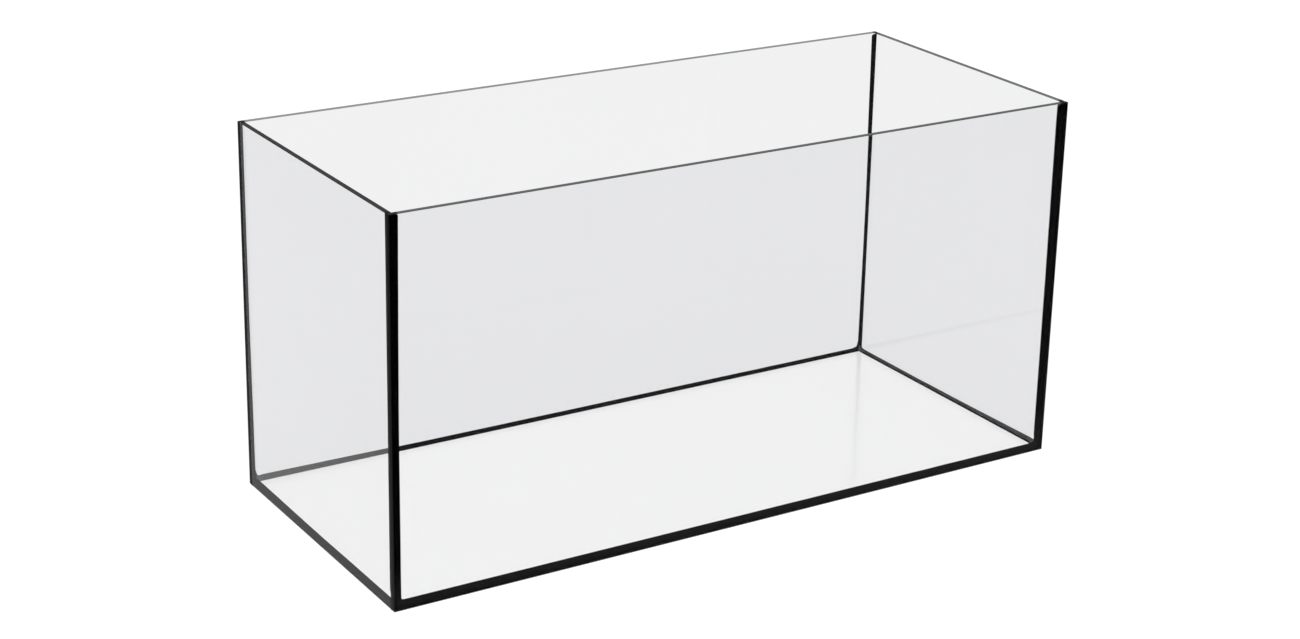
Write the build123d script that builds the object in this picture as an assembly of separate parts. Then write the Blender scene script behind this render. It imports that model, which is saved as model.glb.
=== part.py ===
from build123d import *
import os
from math import cos, radians, sin

# Rimless glass aquarium: five panes of float glass held edge to edge by black silicone.
# X runs along its length, the front looks towards -Y, and the origin is the middle of its underside.

# Outside size of the tank
tank_length = 700.0
tank_depth = 300.0
tank_height = 350.0

# Float glass: the walls are cut from one sheet and the floor from another
wall_glass = 5.0
floor_glass = 5.0
ground_arris = 0.5      # bevel ground along every cut edge, so that it can be handled

# Structural silicone that holds each cut edge to the pane beside it
bond_line = 1.0         # thickness of the silicone between two panes
bond_rim_gap = 1.0      # the joint is wiped clean this far below the rim

# Sealing bead that is laid along each inside corner and drawn off with a round tool
bead_leg = 3.5          # how far it reaches along each pane
bead_edge_angle = 18.0  # angle at which its hollow face meets the glass, in degrees
bead_rim_gap = 1.5      # it stops this far below the rim
bead_end_width = 0.5    # what its rounded top end narrows to

# Places that follow from the sizes above
outer_x = tank_length / 2
outer_y = tank_depth / 2
inner_x = outer_x - wall_glass
inner_y = outer_y - wall_glass
edge_x = inner_x - bond_line
edge_y = inner_y - bond_line
bead_foot = floor_glass + bead_leg
bead_top = tank_height - bead_rim_gap

# Radius of the round tool, and how deep its path cuts into the glass, for that leg and angle
tool_radius = bead_leg / (cos(radians(bead_edge_angle)) - sin(radians(bead_edge_angle)))
tool_overlap = tool_radius * (1 - cos(radians(bead_edge_angle)))

# Which way each wall lies from the middle
ends = {"front": -1, "back": 1}
sides = {"left": -1, "right": 1}


def block(corner, opposite):
    """A box between two opposite corners."""
    middle = [(a + b) / 2 for a, b in zip(corner, opposite)]
    return Pos(*middle) * Box(*(abs(a - b) for a, b in zip(corner, opposite)))


def pane(corner, opposite):
    """A pane of glass, with a small bevel ground along all its edges."""
    sheet = block(corner, opposite)
    return chamfer(sheet.edges(), ground_arris)


def silicone(corner, opposite, neighbours):
    """Silicone that fills the space between its neighbours, their bevelled edges included."""
    fill = block(corner, opposite)
    for neighbour in neighbours:
        fill -= neighbour
    return fill


def make_panes():
    """Front and back run the full length. The sides stand between them, and the floor within."""
    panes = {}
    for end, way in ends.items():
        panes[f"{end}_pane"] = pane((-outer_x, way * outer_y, 0), (outer_x, way * inner_y, tank_height))
    for side, way in sides.items():
        panes[f"{side}_pane"] = pane((way * outer_x, -edge_y, 0), (way * inner_x, edge_y, tank_height))
    panes["bottom_pane"] = pane((-edge_x, -edge_y, 0), (edge_x, edge_y, floor_glass))
    return panes


def make_upright_bonds(panes):
    """Silicone between each end of a side pane and the long pane that covers it."""
    bonds = {}
    for end, way_y in ends.items():
        for side, way_x in sides.items():
            bonds[f"bond_{end}_{side}"] = silicone(
                (way_x * outer_x, way_y * (inner_y + ground_arris), 0),
                (way_x * inner_x, way_y * (edge_y - ground_arris), tank_height - bond_rim_gap),
                [panes[f"{end}_pane"], panes[f"{side}_pane"]])
    return bonds


def make_floor_bonds(panes, upright_bonds):
    """Silicone round the bottom pane: two long runs, then two short ones between them."""
    laid = [*panes.values(), *upright_bonds.values()]
    bonds = {}
    for end, way in ends.items():
        bonds[f"bond_bottom_{end}"] = silicone(
            (-inner_x, way * (inner_y + ground_arris), 0),
            (inner_x, way * (edge_y - ground_arris), floor_glass), laid)
    laid += bonds.values()
    for side, way in sides.items():
        bonds[f"bond_bottom_{side}"] = silicone(
            (way * (inner_x + ground_arris), -edge_y, 0),
            (way * (edge_x - ground_arris), edge_y, floor_glass), laid)
    return bonds


def draw_off_beads():
    """The silicone in all the inside corners, as the round tool leaves it: hollow along each
    edge, and blended into a part of a ball where three edges meet."""
    room = block((-inner_x, -inner_y, floor_glass), (inner_x, inner_y, tank_height))
    path = block((-inner_x - tool_overlap, -inner_y - tool_overlap, floor_glass - tool_overlap),
                 (inner_x + tool_overlap, inner_y + tool_overlap, tank_height + tool_overlap))
    corners = path.edges() - path.edges().group_by(Axis.Z)[-1]
    return room - fillet(corners, tool_radius)


def make_upright_beads(beads):
    """The bead in each upright corner, with its top end rounded off below the rim."""
    parts = {}
    for end, way_y in ends.items():
        for side, way_x in sides.items():
            reach = block((way_x * inner_x, way_y * inner_y, bead_foot),
                          (way_x * (inner_x - bead_leg), way_y * (inner_y - bead_leg), bead_top))
            top_edges = reach.edges().group_by(Axis.Z)[-1]
            shoulders = top_edges.sort_by_distance(Vertex(0, 0, bead_top))[:2]
            parts[f"seal_{end}_{side}"] = beads & fillet(shoulders, bead_leg - bead_end_width)
    return parts


def mitred_run(plan):
    """The space of one floor bead, from its plan, as high as the bead reaches up the wall."""
    face = make_face(Polyline(*plan, close=True))
    return Pos(0, 0, floor_glass) * extrude(face, bead_leg, dir=(0, 0, 1))


def make_floor_beads(beads):
    """The bead along each edge of the floor, mitred into its neighbours at the corners."""
    width = 2 * bead_leg
    parts = {}
    for end, way in ends.items():
        wall, clear = way * inner_y, way * (inner_y - width)
        plan = [(-inner_x, wall), (inner_x, wall), (inner_x - width, clear), (width - inner_x, clear)]
        parts[f"seal_bottom_{end}"] = beads & mitred_run(plan)
    for side, way in sides.items():
        wall, clear = way * inner_x, way * (inner_x - width)
        plan = [(wall, -inner_y), (wall, inner_y), (clear, inner_y - width), (clear, width - inner_y)]
        parts[f"seal_bottom_{side}"] = beads & mitred_run(plan)
    return parts


panes = make_panes()
upright_bonds = make_upright_bonds(panes)
floor_bonds = make_floor_bonds(panes, upright_bonds)
beads = draw_off_beads()
pieces = {**panes, **upright_bonds, **floor_bonds, **make_upright_beads(beads), **make_floor_beads(beads)}

os.makedirs("parts", exist_ok=True)
for name, piece in pieces.items():
    piece.label = name
    export_step(piece, f"parts/{name}.step")
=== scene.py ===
import math

import bpy
from mathutils import Matrix, Vector, noise


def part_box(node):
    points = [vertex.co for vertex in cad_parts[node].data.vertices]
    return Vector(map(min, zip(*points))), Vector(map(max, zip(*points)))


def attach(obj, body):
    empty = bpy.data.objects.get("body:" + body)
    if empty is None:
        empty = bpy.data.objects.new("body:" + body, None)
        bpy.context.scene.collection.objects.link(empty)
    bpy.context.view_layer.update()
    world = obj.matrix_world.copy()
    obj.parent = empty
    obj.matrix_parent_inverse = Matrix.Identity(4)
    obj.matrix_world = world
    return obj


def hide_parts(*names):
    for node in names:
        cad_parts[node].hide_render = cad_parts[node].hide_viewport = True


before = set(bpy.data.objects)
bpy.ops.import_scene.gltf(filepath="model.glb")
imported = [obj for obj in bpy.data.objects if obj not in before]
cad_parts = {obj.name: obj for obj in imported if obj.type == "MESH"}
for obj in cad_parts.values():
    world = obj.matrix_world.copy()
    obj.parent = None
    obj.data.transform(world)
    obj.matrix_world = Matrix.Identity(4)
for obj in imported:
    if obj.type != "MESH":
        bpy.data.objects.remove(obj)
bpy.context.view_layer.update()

# The view
# A long lens a little over two metres from the tank's near left corner, looking down on it from a
# metre above the table, with the small tilt that the picture has.
camera_place = Vector((-1.2009, -1.8874, 0.9904))
camera_aim = Vector((0.5033, 0.7979, -0.3317))
camera_tilt = math.radians(1.220)
film_width = 36.0
lens_length = 71.058
picture_shift = -0.0432
far_limit = 100.0
camera_data = bpy.data.cameras.new("camera")
camera_data.sensor_fit = "HORIZONTAL"
camera_data.sensor_width = film_width
camera_data.lens = lens_length
camera_data.shift_y = picture_shift
camera_data.clip_end = far_limit
camera = bpy.data.objects.new("camera", camera_data)
camera.matrix_world = (Matrix.Translation(camera_place)
                       @ camera_aim.to_track_quat("-Z", "Y").to_matrix().to_4x4()
                       @ Matrix.Rotation(camera_tilt, 4, "Z"))
bpy.context.scene.collection.objects.link(camera)
bpy.context.scene.camera = camera
bpy.context.scene.view_settings.view_transform = "Standard"


# The five panes
# Clear float glass, 5 mm thick, cut square. Every edge is ground by a belt, with a small bevel on
# each side of it, and stays matt. The two long panes cover the ends of the side panes.
lengthwise, depthwise, upward = range(3)
joint_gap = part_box("left_pane")[0].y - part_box("front_pane")[1].y
bond_low, bond_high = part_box("bond_front_left")
arris = (bond_high.y - bond_low.y - joint_gap) / 2

# The picture shows hardly any reflection in the near panes, so their index is lower than glass has,
# and no pane mirrors anything head on. The floor pane is a little hazy.
glass_ior = {
    "front_pane": 1.25,
    "back_pane": 1.50,
    "left_pane": 1.22,
    "right_pane": 1.50,
    "bottom_pane": 1.40,
}
head_on_mirror = (0.0, 0.0, 0.0, 1.0)
floor_haze = 0.10
wall_tints = {
    "front_pane": (0.892, 0.893, 0.908, 1.0),
    "back_pane": (0.839, 0.839, 0.841, 1.0),
    "left_pane": (0.865, 0.866, 0.881, 1.0),
    "right_pane": (0.839, 0.839, 0.841, 1.0),
}
floor_tint = (1.0, 0.999, 0.986, 1.0)
tint_waver = 0.01
tint_cloud = {"Scale": 7.0, "Detail": 1.0}

# The grey of each rim, painted lighter or darker pane by pane for the light through the one ground
# edge, and how far from its two ends painted shade over the joints darkens it
painted_rim_light = {"front_pane": 0.108, "back_pane": 0.26, "left_pane": 0.030, "right_pane": 0.145}
rim_cast = Vector((0.98, 1.0, 1.0))
rim_ends = {"front_pane": 0.0085, "back_pane": 0.0055, "left_pane": 0.004, "right_pane": 0.004}
rim_end_soft = 0.0005
joint_shade_colour = (0.014, 0.014, 0.014, 1.0)

# The walls' other edges are painted as in shade, and the floor pane's edges as catching the table's
# light low down; its side edges keep more of that painted light higher up than its long ones
shaded_edge = {
    "Low Colour": (0.022, 0.022, 0.023, 1.0),
    "High Colour": (0.003, 0.003, 0.0032, 1.0),
    "Fade Height": 0.2,
    "Unevenness": 0.2,
}
long_edge = {
    "Low Colour": (0.80, 0.82, 0.83, 1.0),
    "High Colour": (0.006, 0.006, 0.006, 1.0),
    "Fade Height": 0.005,
    "Unevenness": 0.1,
}
side_edge = {
    "Low Colour": (0.92, 0.93, 0.94, 1.0),
    "High Colour": (0.28, 0.28, 0.28, 1.0),
    "Fade Height": 0.005,
    "Unevenness": 0.1,
}
fade_cloud = {"Scale": 45.0, "Detail": 2.0}

# The belt's marks per metre across and along the edge, what they do to it and how deep they are.
# The plain colour and roughness of a finish are for a viewer that doesn't read its shades.
belt_marks = 2400.0
belt_stretch = 60.0
belt_work = {"Contrast": 0.35, "Smooth": 0.4, "Rough": 0.6}
belt_depth = 0.00002
streak_cloud = {"Scale": 1.0, "Detail": 3.0}
edge_finish = {"Base Color": (0.01, 0.01, 0.01, 1.0), "Roughness": 0.5, "Specular IOR Level": 0.02}
noise_middle = 0.5
full_value = 1.0

# The least part of an axis in the normal of a face that looks squarely, or only partly, that way
squarely = 0.9
partly = 0.5


def fill(node, values):
    """Gives a node's inputs plain values, or what other nodes put out."""
    for name, value in values.items():
        if isinstance(value, bpy.types.NodeSocket):
            node.id_data.links.new(value, node.inputs[name])
        else:
            node.inputs[name].default_value = value


def new_node(tree, kind, inputs=None, **settings):
    """A node of a kind, with its settings made and its inputs filled."""
    node = tree.nodes.new(f"ShaderNode{kind}")
    for name, value in settings.items():
        setattr(node, name, value)
    fill(node, inputs or {})
    return node


def calculate(tree, operation, *terms):
    """The result of a sum, from plain numbers or from what other nodes put out."""
    node = new_node(tree, "Math", dict(enumerate(terms)), operation=operation)
    return node.outputs["Value"]


def blend_colours(tree, share, first, second):
    """The colour that lies at a share of the way from one to another."""
    blend = new_node(tree, "Mix", data_type="RGBA")
    sockets = {socket.identifier: socket for socket in (*blend.inputs, *blend.outputs)}
    tree.links.new(share, sockets["Factor_Float"])
    tree.links.new(first, sockets["A_Color"])
    tree.links.new(second, sockets["B_Color"])
    return sockets["Result_Color"]


def swinging(tree, cloud, amount, around):
    """A noise that swings by an amount to both sides of a value."""
    centred = calculate(tree, "SUBTRACT", cloud, noise_middle)
    return calculate(tree, "MULTIPLY_ADD", centred, amount, around)


def shaded_unevenly(tree, colour, cloud, amount):
    """A colour that a noise makes lighter and darker by an amount."""
    value = swinging(tree, cloud, amount, full_value)
    return new_node(tree, "HueSaturation", {"Value": value, "Color": colour}).outputs["Color"]


def new_group(name, inputs, outputs):
    """A node group with named sockets, what is given to it and the node that takes its result."""
    group = bpy.data.node_groups.new(name, "ShaderNodeTree")
    for way, sockets in (("INPUT", inputs), ("OUTPUT", outputs)):
        for title, kind in sockets.items():
            group.interface.new_socket(name=title, in_out=way, socket_type=f"NodeSocket{kind}")
    given = group.nodes.new("NodeGroupInput").outputs
    return group, given, group.nodes.new("NodeGroupOutput")


def varied_tint():
    """Float glass is never quite even: its tint wavers a little over a hand's width."""
    group, given, result = new_group("varied tint", {"Colour": "Color", "Waver": "Float"},
                                     {"Colour": "Color"})
    place = new_node(group, "TexCoord").outputs["Object"]
    cloud = new_node(group, "TexNoise", {"Vector": place, **tint_cloud}).outputs["Fac"]
    fill(result, {"Colour": shaded_unevenly(group, given["Colour"], cloud, given["Waver"])})
    return group


def worked_surface():
    """Marks left along a surface by a belt or a tool: streaks of colour, roughness and height."""
    group, given, result = new_group(
        "worked surface",
        {"Colour": "Color", "Marks": "Vector", "Contrast": "Float", "Smooth": "Float",
         "Rough": "Float"},
        {"Colour": "Color", "Roughness": "Float", "Height": "Float"})
    place = new_node(group, "TexCoord").outputs["Object"]
    stretch = new_node(group, "VectorMath", {0: place, 1: given["Marks"]}, operation="MULTIPLY")
    noise_node = new_node(group, "TexNoise", {"Vector": stretch.outputs["Vector"], **streak_cloud})
    streaks = noise_node.outputs["Fac"]
    sheen = new_node(group, "MapRange", {"Value": streaks, "To Min": given["Smooth"],
                                         "To Max": given["Rough"]})
    fill(result, {"Colour": shaded_unevenly(group, given["Colour"], streaks, given["Contrast"]),
                  "Roughness": sheen.outputs["Result"],
                  "Height": streaks})
    return group


def fade_with_height():
    """One colour at the table and another above, where less of the table's light comes in."""
    group, given, result = new_group(
        "fade with height",
        {"Low Colour": "Color", "High Colour": "Color", "Fade Height": "Float",
         "Unevenness": "Float"},
        {"Colour": "Color"})
    place = new_node(group, "TexCoord").outputs["Object"]
    height = new_node(group, "SeparateXYZ", {"Vector": place}).outputs["Z"]
    share = calculate(group, "DIVIDE", height, given["Fade Height"])
    cloud = new_node(group, "TexNoise", {"Vector": place, **fade_cloud}).outputs["Fac"]
    uneven = swinging(group, cloud, given["Unevenness"], share)
    soft = new_node(group, "MapRange", {"Value": uneven}, interpolation_type="SMOOTHSTEP")
    fill(result, {"Colour": blend_colours(group, soft.outputs["Result"], given["Low Colour"],
                                          given["High Colour"])})
    return group


def painted_joint_shade():
    """Painted shade at an edge's two ends, over the joints, where the black silicone below keeps
    light from coming up through the edge.
    """
    group, given, result = new_group(
        "dark ends",
        {"Colour": "Color", "End Colour": "Color", "Run": "Vector", "Start": "Float",
         "Finish": "Float"},
        {"Colour": "Color"})
    place = new_node(group, "TexCoord").outputs["Object"]
    both_ways = new_node(group, "VectorMath", {0: place}, operation="ABSOLUTE").outputs["Vector"]
    along = new_node(group, "VectorMath", {0: both_ways, 1: given["Run"]}, operation="DOT_PRODUCT")
    mask = new_node(group, "MapRange",
                    {"Value": along.outputs["Value"], "From Min": given["Start"],
                     "From Max": given["Finish"]}, interpolation_type="SMOOTHSTEP")
    fill(result, {"Colour": blend_colours(group, mask.outputs["Result"], given["Colour"],
                                          given["End Colour"])})
    return group


tint_group = varied_tint()
worked_group = worked_surface()
fade_group = fade_with_height()
joint_shade_group = painted_joint_shade()


def new_material(name, finish):
    """A material, and the shader that gives it its finish."""
    material = bpy.data.materials.new(name)
    material.use_nodes = True
    shader = material.node_tree.nodes["Principled BSDF"]
    fill(shader, finish)
    return material, shader


def place_group(shader, group, values):
    """What a group puts out, placed beside a shader with its own values."""
    return new_node(shader.id_data, "Group", values, node_tree=group).outputs


def marks_along(run, seldom, often):
    """How many marks a metre holds on each axis: few along the run, and many across it."""
    return [seldom if axis == run else often for axis in range(3)]


def work_over(shader, shade, marks, work, depth):
    """Lays the marks of a belt or a tool over a shade, in colour, roughness and height."""
    worked = place_group(shader, worked_group, {"Colour": shade, "Marks": marks, **work})
    bump = new_node(shader.id_data, "Bump", {"Distance": depth, "Height": worked["Height"]})
    fill(shader, {"Base Color": worked["Colour"], "Roughness": worked["Roughness"],
                  "Normal": bump.outputs["Normal"]})


def clear_glass(name, tint, ior, haze=0.0):
    """Polished float glass."""
    material, shader = new_material(name, {
        "Base Color": tint, "Roughness": haze, "IOR": ior, "Transmission Weight": 1.0,
        "Specular Tint": head_on_mirror})
    varied = place_group(shader, tint_group, {"Colour": tint, "Waver": tint_waver})
    fill(shader, {"Base Color": varied["Colour"]})
    return material


def ground_edge(name, run, first_shade, colours):
    """The matt ground edge of a pane, with the belt's marks along its run over a first shade."""
    material, shader = new_material(name, edge_finish)
    shade = place_group(shader, first_shade, colours)["Colour"]
    work_over(shader, shade, marks_along(run, belt_stretch, belt_marks), belt_work, belt_depth)
    return material


def unit(axis, amount=1.0):
    """A step along an axis: forwards by a metre, or by another amount."""
    return Vector([amount if index == axis else 0.0 for index in range(3)])


def start_block(name, low, high):
    """A block between two corners, with its place in its mesh, and nothing else selected."""
    bpy.ops.object.select_all(action="DESELECT")
    bpy.ops.mesh.primitive_cube_add(size=1.0, location=(low + high) / 2, scale=high - low)
    bpy.ops.object.transform_apply(location=True, rotation=True, scale=True)
    piece = bpy.context.object
    piece.name = piece.data.name = name
    return piece


shaded_finish = ground_edge("ground edge in shade", upward, fade_group, shaded_edge)
for node, ior in glass_ior.items():
    low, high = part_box(node)
    size = high - low
    thin = min(range(3), key=lambda axis: size[axis])
    run = lengthwise if size.x > size.y else depthwise
    sheet = start_block(f"{node}_glass", low, high)
    bpy.ops.object.mode_set(mode="EDIT")
    bpy.ops.mesh.select_all(action="SELECT")
    bpy.ops.mesh.bevel(offset=arris, segments=1, affect="EDGES")
    bpy.ops.object.mode_set(mode="OBJECT")
    if node == "bottom_pane":
        finishes = [clear_glass("floor glass", floor_tint, ior, floor_haze),
                    ground_edge("long floor edge", lengthwise, fade_group, long_edge),
                    ground_edge("side floor edge", depthwise, fade_group, side_edge)]
    else:
        title = node.replace("_pane", "")
        # Painted light in the rim's grey, and painted shade at its two ends over the joints
        dark_from = high[run] - rim_ends[node]
        rim = {"Colour": (*(rim_cast * painted_rim_light[node]), 1.0), "End Colour": joint_shade_colour,
               "Run": unit(run), "Start": dark_from - rim_end_soft,
               "Finish": dark_from + rim_end_soft}
        finishes = [clear_glass(f"{title} glass", wall_tints[node], ior), shaded_finish,
                    ground_edge(f"{title} rim", run, joint_shade_group, rim)]
    for finish in finishes:
        sheet.data.materials.append(finish)

    # The ends of the side panes are wetted by the joints, which takes their matt look away
    for face in sheet.data.polygons:
        polished = abs(face.normal[thin]) > squarely
        wetted_end = run == depthwise and abs(face.normal.y) > squarely
        if node == "bottom_pane":
            second_edge = abs(face.normal.x) > partly
        else:
            second_edge = face.normal.z > partly
        ground = 2 if second_edge else 1
        face.material_index = 0 if polished or wetted_end else ground
    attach(sheet, "root")
    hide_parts(node)


# The silicone joints
# Black silicone, a millimetre thick, holds each cut edge to the pane beside it and fills the bevels
# of both. It is squeezed out as the panes are pressed together, then wiped a little hollow.
joint_step = 0.024
wiped = 0.0002
near = 0.00001

# How deep the silicone reaches into the face of the glass, so that no film of air shows between
wetted = 0.00005

# The black of the silicone as it shows through the glass, and that of its free skin. Each fades
# upwards, where less of the table's light gets to it. The upright, long and side joints are one
# silicone, painted lighter or darker as painted light and shade.
upright_black = {
    "Low Colour": (0.0140, 0.0138, 0.0138, 1.0),
    "High Colour": (0.0006, 0.0006, 0.0007, 1.0),
    "Fade Height": 0.05,
    "Unevenness": 0.5,
}
long_black = {
    "Low Colour": (0.0175, 0.0175, 0.0180, 1.0),
    "High Colour": (0.0145, 0.0145, 0.0150, 1.0),
    "Fade Height": 0.012,
    "Unevenness": 0.3,
}
side_black = {
    "Low Colour": (0.0044, 0.0044, 0.0046, 1.0),
    "High Colour": (0.0036, 0.0036, 0.0038, 1.0),
    "Fade Height": 0.012,
    "Unevenness": 0.3,
}
skin_black = {
    "Low Colour": (0.0180, 0.0180, 0.0190, 1.0),
    "High Colour": (0.0030, 0.0030, 0.0032, 1.0),
    "Fade Height": 0.2,
    "Unevenness": 0.3,
}
pressed_finish = {"Base Color": (0.001, 0.001, 0.001, 1.0), "Roughness": 1.0,
                  "Specular IOR Level": 0.0}
skin_finish = {"Base Color": (0.005, 0.005, 0.005, 1.0), "Roughness": 0.35}
tool_marks = 900.0
tool_stretch = 30.0
tool_work = {"Contrast": 0.3, "Smooth": 0.26, "Rough": 0.44}
tool_depth = 0.00003

# The gloss of the wiped skin, by the axis that the joint runs along
joint_gloss = {"x": 0.05, "y": 0.9, "z": 0.05}


def against_glass(name, black):
    """Silicone that has wetted the glass, seen through it: black with no gloss of its own."""
    material, shader = new_material(name, pressed_finish)
    fill(shader, {"Base Color": place_group(shader, fade_group, black)["Colour"]})
    return material


def silicone_skin(name, run, black, gloss):
    """The free skin of the silicone, with the tool's marks along its run."""
    material, shader = new_material(name, {**skin_finish, "Specular IOR Level": gloss})
    shade = place_group(shader, fade_group, black)["Colour"]
    work_over(shader, shade, marks_along(run, tool_stretch, tool_marks), tool_work, tool_depth)
    return material


def nodes_named(start):
    """The solids whose names start alike."""
    return [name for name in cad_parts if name.startswith(start)]


def run_of(node):
    """The way that a joint or a bead runs: up a corner, along a long wall or along a side."""
    if "bottom" not in node:
        return upward
    return lengthwise if "front" in node or "back" in node else depthwise


def slice_mesh(axis, places):
    """Adds a ring of edges across the mesh in edit mode at each place along an axis."""
    for place in places:
        bpy.ops.mesh.select_all(action="SELECT")
        bpy.ops.mesh.bisect(plane_co=unit(axis, place), plane_no=unit(axis))


def steps_between(start, end, step):
    """Evenly spaced places between two ends, at least one, without the ends."""
    count = max(2, round((end - start) / step))
    return [start + (end - start) * index / count for index in range(1, count)]


def pick(piece, chosen):
    """Selects the vertices that pass a test, in edit mode."""
    bpy.ops.object.mode_set(mode="EDIT")
    bpy.ops.mesh.select_mode(type="VERT")
    bpy.ops.mesh.select_all(action="DESELECT")
    bpy.ops.object.mode_set(mode="OBJECT")
    for vertex in piece.data.vertices:
        vertex.select = chosen(vertex.co)
    bpy.ops.object.mode_set(mode="EDIT")


glass_sides = {
    upward: against_glass("upright silicone on glass", upright_black),
    lengthwise: against_glass("long floor silicone on glass", long_black),
    depthwise: against_glass("side floor silicone on glass", side_black),
}
joint_skins = [silicone_skin(f"wiped silicone {axis}", run, skin_black, gloss)
               for run, (axis, gloss) in enumerate(joint_gloss.items())]

for node in nodes_named("bond_"):
    low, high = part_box(node)
    middle = (low + high) / 2
    run = run_of(node)
    deep = lengthwise if run == upward else upward
    gap = (set(range(3)) - {run, deep}).pop()
    outward = math.copysign(1.0, middle[deep]) if run == upward else -1.0
    covered = math.copysign(1.0, middle[gap])
    outer, inner = (high[deep], low[deep]) if outward > 0 else (low[deep], high[deep])
    cover = high[gap] if covered > 0 else low[gap]

    # A block as wide as the gap and both bevels, with rings where the bevels end and along its run
    joint = start_block(f"{node}_joint", low, high)
    bpy.ops.object.mode_set(mode="EDIT")
    slice_mesh(deep, (outer - outward * arris, inner + outward * arris))
    slice_mesh(run, steps_between(low[run], high[run], joint_step))

    # Both sides are drawn in to the panes, apart from the edges that fill the bevels
    draw_in = unit(gap, -covered * (arris - wetted))
    pick(joint, lambda co: abs(co[gap] - cover) < near and abs(co[deep] - outer) > near)
    bpy.ops.transform.translate(value=draw_in)
    pick(joint, lambda co: abs(co[gap] - cover) > arris + near
         and near < abs(co[deep] - outer) < abs(inner - outer) - near)
    bpy.ops.transform.translate(value=-draw_in)

    # The face that shows outside is wiped hollow along its middle
    slice_mesh(gap, (middle[gap],))
    pick(joint, lambda co: abs(co[deep] - outer) < near and abs(co[gap] - middle[gap]) < near)
    bpy.ops.transform.translate(value=unit(deep, -outward * wiped))
    bpy.ops.object.mode_set(mode="OBJECT")
    joint.data.materials.append(glass_sides[run])
    joint.data.materials.append(joint_skins[run])
    for face in joint.data.polygons:
        free = abs(face.normal[run]) > squarely or abs(face.normal[deep]) > squarely
        face.material_index = 1 if free else 0
    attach(joint, "root")
    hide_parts(node)


# The sealing beads
# Black silicone laid by hand along every inside corner and drawn off hollow with a round tool, so
# its reach wavers. It blends into part of a ball where three corners meet, and ends round on top.
bead_segments = 10
round_profile = 0.5
bead_step = 0.020
run_out_steps = 9
slice_shares = (1.0, 1.5, 2.0, 2.5, 3.0)
foot_share = 1.35
most_sides = 4
smooth_angle = math.radians(30.0)

# The waver along a bead: how far it goes, how often in a metre, and each edge's row of the noise
waver = 0.00012
waver_scale = 45.0
waver_rows = {"long leg": 1.3, "side leg": 5.7, "long up": 9.1, "side up": 12.4,
              "long in": 15.8, "side in": 19.2}

# How far each upright bead reaches along the long and the side pane, from its foot to its top, and
# over what height its top rounds off
upright_reach = {
    ("front", "left"): {
        "long": (0.0032, 0.0032, 0.0048),
        "side": (0.0074, 0.0072, 0.0070),
        "round": 0.0015,
    },
    ("front", "right"): {
        "long": (0.0033, 0.0036, 0.0046),
        "side": (0.0043, 0.0048, 0.0061),
        "round": 0.0055,
    },
    ("back", "left"): {
        "long": (0.0017, 0.0007, 0.0005),
        "side": (0.0042, 0.0006, 0.0005),
        "round": 0.0020,
    },
    ("back", "right"): {
        "long": (0.0019, 0.0013, 0.0011, 0.0018, 0.0027),
        "side": (0.0043, 0.0041, 0.0038, 0.0033, 0.0038),
        "round": 0.0020,
    },
}

# How far each floor bead reaches up its wall, from left to right or front to back, and in over the
# floor
floor_reach = {
    "front": {"up": (0.0032, 0.0028, 0.0025), "in": 0.0030},
    "back": {"up": (0.0038, 0.0025, 0.0023, 0.0023, 0.0023), "in": 0.0017},
    "left": {"up": (0.0037, 0.0032, 0.0044), "in": 0.0028},
    "right": {"up": (0.0040, 0.0026, 0.0022, 0.0024), "in": 0.0008},
}
ball_share = 0.95
end_width = 0.0005

# The drawn silicone's black, which fades upwards as painted shade where less of the table's light
# gets to it, its gloss by the axis that it runs along, and how far towards the room its faces have
# to look to be its free skin
bead_black = {
    "Low Colour": (0.0040, 0.0040, 0.0042, 1.0),
    "High Colour": (0.0015, 0.0015, 0.0017, 1.0),
    "Fade Height": 0.2,
    "Unevenness": 0.3,
}
bead_gloss = {"x": 0.12, "y": 0.9, "z": 0.12}
facing_room = 0.1

# The room inside the panes, and the round tool's radius and how deep its path cuts into them
floor_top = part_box("bottom_pane")[1].z
rim_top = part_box("front_pane")[1].z
room_low = Vector((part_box("left_pane")[1].x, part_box("front_pane")[1].y, floor_top))
room_high = Vector((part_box("right_pane")[0].x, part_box("back_pane")[0].y, rim_top))
bead_low, bead_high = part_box("seal_front_left")
bead_leg = bead_high.x - bead_low.x
bead_top = bead_high.z
edge_angle = math.radians(18.0)
tool_radius = bead_leg / (math.cos(edge_angle) - math.sin(edge_angle))
tool_overlap = tool_radius * (1 - math.cos(edge_angle))

# All the beads are first made in one: the room, less the tool's path with its edges rounded
bite = Vector((wetted, wetted, wetted))
network = start_block("network", room_low - bite, room_high + bite)
grow = Vector((tool_overlap, tool_overlap, tool_overlap))
path = start_block("path", room_low - grow, room_high + grow)
bpy.ops.object.mode_set(mode="EDIT")
bpy.ops.mesh.select_mode(type="EDGE")
bpy.ops.mesh.select_all(action="DESELECT")
bpy.ops.object.mode_set(mode="OBJECT")
path_top = max(vertex.co.z for vertex in path.data.vertices)
for edge in path.data.edges:
    heights = [path.data.vertices[index].co.z for index in edge.vertices]
    edge.select = min(heights) < path_top - near
bpy.ops.object.mode_set(mode="EDIT")
bpy.ops.mesh.bevel(offset=tool_radius, segments=bead_segments, profile=round_profile,
                   affect="EDGES")
bpy.ops.object.mode_set(mode="OBJECT")
cut = network.modifiers.new("drawn off", "BOOLEAN")
cut.operation = "DIFFERENCE"
cut.solver = "EXACT"
cut.object = path
bpy.context.view_layer.objects.active = network
bpy.ops.object.modifier_apply(modifier=cut.name)

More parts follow.
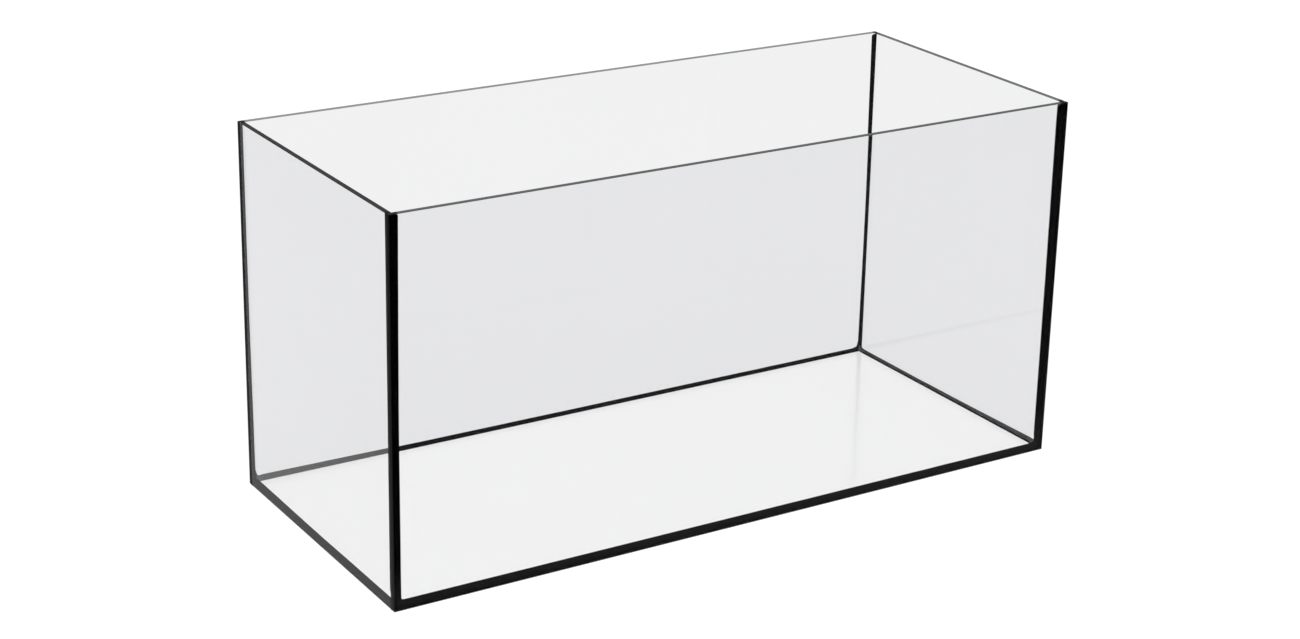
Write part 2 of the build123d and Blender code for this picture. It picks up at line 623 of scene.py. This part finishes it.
# Rings lie close together where the reach changes, by the corners and under the rim
corner_slices = [bead_leg * share for share in slice_shares]
blend_run = corner_slices[-1]
bpy.ops.object.select_all(action="DESELECT")
network.select_set(True)
bpy.ops.object.mode_set(mode="EDIT")
bpy.ops.mesh.select_mode(type="VERT")
for axis in (lengthwise, depthwise):
    slice_mesh(axis, [room_low[axis] + place for place in corner_slices])
    slice_mesh(axis, [room_high[axis] - place for place in corner_slices])
    slice_mesh(axis, steps_between(room_low[axis] + blend_run, room_high[axis] - blend_run,
                                   bead_step))
slice_mesh(upward, [room_low.z + place for place in corner_slices])
slice_mesh(upward, steps_between(room_low.z + blend_run, bead_top - bead_leg, bead_step))
slice_mesh(upward, [bead_top - bead_leg * (1 - math.sin(math.pi / 2 * step / run_out_steps))
                    for step in range(run_out_steps + 1)])
bpy.ops.object.mode_set(mode="OBJECT")


def past_bead(distance):
    """Nought within a bead's leg of a pane, one well past it, and a smooth rise between."""
    share = min(1.0, max(0.0, (distance - bead_leg) / (blend_run - bead_leg)))
    return share * share * (3 - 2 * share)


def share_of_room(place, axis):
    """How far through the room a place lies along an axis, from nought to one."""
    return (place[axis] - room_low[axis]) / (room_high[axis] - room_low[axis])


def stationed(values, share):
    """A value between evenly spaced stations along a run."""
    place = min(1.0, max(0.0, share)) * (len(values) - 1)
    index = min(int(place), len(values) - 2)
    return values[index] + (values[index + 1] - values[index]) * (place - index)


def wavering(place, edge):
    """The small unevenness that the hand leaves along an edge of a bead."""
    return waver * noise.noise(Vector((place * waver_scale, waver_rows[edge], 0.0)))


def run_out(leg, rise):
    """A leg that narrows, rounding off, to the top end of an upright bead."""
    return end_width + (leg - end_width) * math.sqrt(1 - rise * rise)


def leg_share(*runs):
    """A share of the full leg: the ball's in a corner, and each run's own away from it."""
    share = ball_share
    for within, leg in runs:
        share += within * (leg / bead_leg - ball_share)
    return share


def drawn_to(distance, reach_share):
    """A distance from the glass, stretched so that the bead's full leg comes to another reach."""
    held = (min(distance, bead_leg) + wetted) * (reach_share - 1)
    return distance + held * (1 - past_bead(distance))


for vertex in network.data.vertices:
    place = vertex.co.copy()
    from_left = place.x - room_low.x
    from_right = room_high.x - place.x
    from_front = place.y - room_low.y
    from_back = room_high.y - place.y
    side = "left" if from_left < from_right else "right"
    end = "front" if from_front < from_back else "back"
    across = min(from_left, from_right)
    along = min(from_front, from_back)
    above = place.z - room_low.z
    in_upright = past_bead(above)
    in_long = past_bead(across)
    in_side = past_bead(along)

    corner = upright_reach[end, side]
    height = share_of_room(place, upward)
    rise = min(1.0, max(0.0, (place.z - bead_top + corner["round"]) / corner["round"]))
    long_leg = run_out(stationed(corner["long"], height) + wavering(place.z, "long leg"), rise)
    side_leg = run_out(stationed(corner["side"], height) + wavering(place.z, "side leg"), rise)
    long_share = share_of_room(place, lengthwise)
    side_share = share_of_room(place, depthwise)
    long_up = stationed(floor_reach[end]["up"], long_share) + wavering(place.x, "long up")
    side_up = stationed(floor_reach[side]["up"], side_share) + wavering(place.y, "side up")
    long_in = floor_reach[end]["in"] + wavering(place.x, "long in")
    side_in = floor_reach[side]["in"] + wavering(place.y, "side in")

    across = drawn_to(across, leg_share((in_upright, long_leg), (in_side, side_in)))
    along = drawn_to(along, leg_share((in_upright, side_leg), (in_long, long_in)))
    above = drawn_to(above, leg_share((in_long, long_up), (in_side, side_up)))
    vertex.co = (room_low.x + across if side == "left" else room_high.x - across,
                 room_low.y + along if end == "front" else room_high.y - along,
                 room_low.z + above)


def keep_side(place, normal):
    """Cuts the mesh in edit mode and keeps what lies behind the plane."""
    bpy.ops.mesh.select_all(action="SELECT")
    bpy.ops.mesh.bisect(plane_co=place, plane_no=normal, use_fill=True, clear_outer=True)


bead_skins = [silicone_skin(f"drawn silicone {axis}", run, bead_black, gloss)
              for run, (axis, gloss) in enumerate(bead_gloss.items())]
centre = Vector((0.0, 0.0, 0.0))
foot = room_low.z + foot_share * bead_leg
for node in nodes_named("seal_"):
    low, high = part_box(node)
    middle = (low + high) / 2
    run = run_of(node)
    bpy.ops.object.select_all(action="DESELECT")
    bead = network.copy()
    bead.data = network.data.copy()
    bead.name = bead.data.name = f"{node}_bead"
    bpy.context.scene.collection.objects.link(bead)
    bpy.context.view_layer.objects.active = bead
    bead.select_set(True)
    bpy.ops.object.mode_set(mode="EDIT")
    bpy.ops.mesh.select_mode(type="VERT")

    # An upright bead is cut from the rest above the ball, and a floor bead is mitred at its ends
    if run == upward:
        keep_side(unit(upward, foot), unit(upward, -1.0))
        keep_side(unit(upward, high.z), unit(upward))
        for axis in (lengthwise, depthwise):
            keep_side(centre, unit(axis, -math.copysign(1.0, middle[axis])))
    else:
        out = depthwise if run == lengthwise else lengthwise
        way = math.copysign(1.0, middle[out])
        wall = room_low[out] if way < 0 else room_high[out]
        keep_side(unit(upward, foot), unit(upward))
        for end in (room_low[run], room_high[run]):
            keep_side(unit(run, end) + unit(out, wall),
                      unit(run, math.copysign(1.0, end)) + unit(out, -way))
        keep_side(centre, unit(out, -way))

    # Faces with more than four sides are split here, so that none is split into slivers later
    bpy.ops.mesh.select_mode(type="FACE")
    bpy.ops.mesh.select_all(action="DESELECT")
    bpy.ops.mesh.select_face_by_sides(number=most_sides, type="GREATER")
    bpy.ops.mesh.quads_convert_to_tris(quad_method="BEAUTY", ngon_method="BEAUTY")
    bpy.ops.object.mode_set(mode="OBJECT")
    bead.data.materials.append(glass_sides[run])
    bead.data.materials.append(bead_skins[run])
    for face in bead.data.polygons:
        inward_x = -math.copysign(1.0, face.center.x)
        inward_y = -math.copysign(1.0, face.center.y)
        toward_room = face.normal.dot(Vector((inward_x, inward_y, 1.0)))
        face.material_index = 1 if toward_room > facing_room else 0
    bpy.ops.object.shade_smooth_by_angle(angle=smooth_angle)
    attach(bead, "root")
    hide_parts(node)

for helper in (network, path):
    bpy.data.objects.remove(helper)


# The table and the light
# A white table that runs on into a white wall, with a large soft lamp above. The white glows for
# the camera alone, straight, mirrored or through glass, and sends the tank little light from below.
white = (1.0, 1.0, 1.0, 1.0)
table_size = 60.0
table_level = -0.0004
table_finish = {"Base Color": (0.058, 0.058, 0.058, 1.0), "Roughness": 1.0,
                "Specular IOR Level": 0.0, "Emission Color": white}
table_glow = 0.997
room_strength = 0.85
backdrop_strength = 1.0
lamp_place = Vector((-1.2, -1.0, 2.6))
lamp_width = 2.5
lamp_power = 25.0


def seen_directly(tree):
    """One for a ray that the camera sees, straight or by way of glass or a reflection."""
    rays = new_node(tree, "LightPath").outputs
    straight_or_mirrored = calculate(tree, "MAXIMUM", rays["Is Camera Ray"], rays["Is Glossy Ray"])
    return calculate(tree, "MAXIMUM", straight_or_mirrored, rays["Is Transmission Ray"])


bpy.ops.object.select_all(action="DESELECT")
bpy.ops.mesh.primitive_plane_add(size=table_size, location=(0.0, 0.0, table_level))
floor = bpy.context.object
floor.name = "floor"
floor_material, floor_shader = new_material("white floor", table_finish)
floor_tree = floor_material.node_tree
fill(floor_shader, {"Emission Strength": calculate(floor_tree, "MULTIPLY",
                                                   seen_directly(floor_tree), table_glow)})
floor.data.materials.append(floor_material)

world = bpy.data.worlds.new("studio")
bpy.context.scene.world = world
world.use_nodes = True
sky_tree = world.node_tree
sky_tree.nodes.clear()
room_light = new_node(sky_tree, "Background", {"Color": white, "Strength": room_strength})
backdrop = new_node(sky_tree, "Background", {"Color": white, "Strength": backdrop_strength})
choice = new_node(sky_tree, "MixShader", {0: seen_directly(sky_tree),
                                          1: room_light.outputs["Background"],
                                          2: backdrop.outputs["Background"]})
new_node(sky_tree, "OutputWorld", {"Surface": choice.outputs["Shader"]})

lamp_data = bpy.data.lights.new("soft_lamp", "AREA")
lamp_data.shape = "DISK"
lamp_data.size = lamp_width
lamp_data.energy = lamp_power
lamp = bpy.data.objects.new("soft_lamp", lamp_data)
lamp.location = lamp_place
lamp.rotation_euler = (-lamp_place).to_track_quat("-Z", "Y").to_euler()
bpy.context.scene.collection.objects.link(lamp)
